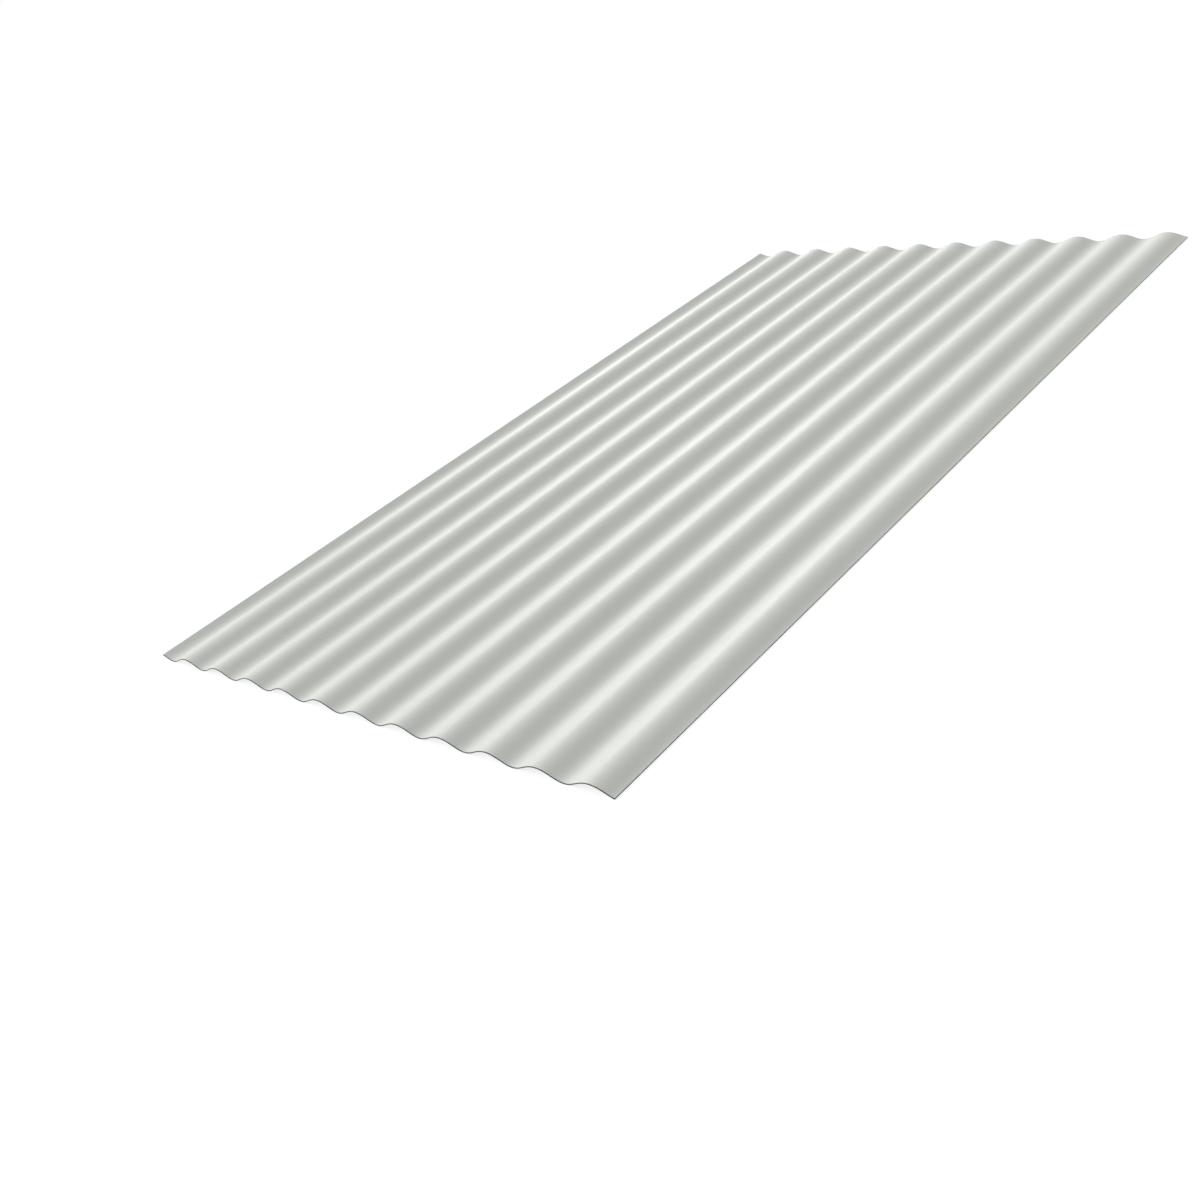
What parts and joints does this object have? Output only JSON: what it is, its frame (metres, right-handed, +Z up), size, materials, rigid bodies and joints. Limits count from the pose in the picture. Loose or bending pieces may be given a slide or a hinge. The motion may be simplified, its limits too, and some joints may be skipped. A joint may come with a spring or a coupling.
{
  "type": "corrugated metal sheet",
  "caption": "Long thin steel sheet rolled into even lengthwise waves, with one side edge turned up and the other turned down to lap the next sheet, painted pale grey.",
  "frame": {"origin": "middle of the sheet's footprint, on the floor that its valleys lie on", "axes": "+X across the waves, from the up-turned to the down-turned side edge; +Y along the waves; +Z up, out of the painted face"},
  "size_m": [0.8548, 1.5, 0.011],
  "materials": {
    "painted_steel": "satin"
  },
  "bodies": {
    "root": {"corrugated_sheet": "painted_steel"}
  },
  "joints": []
}
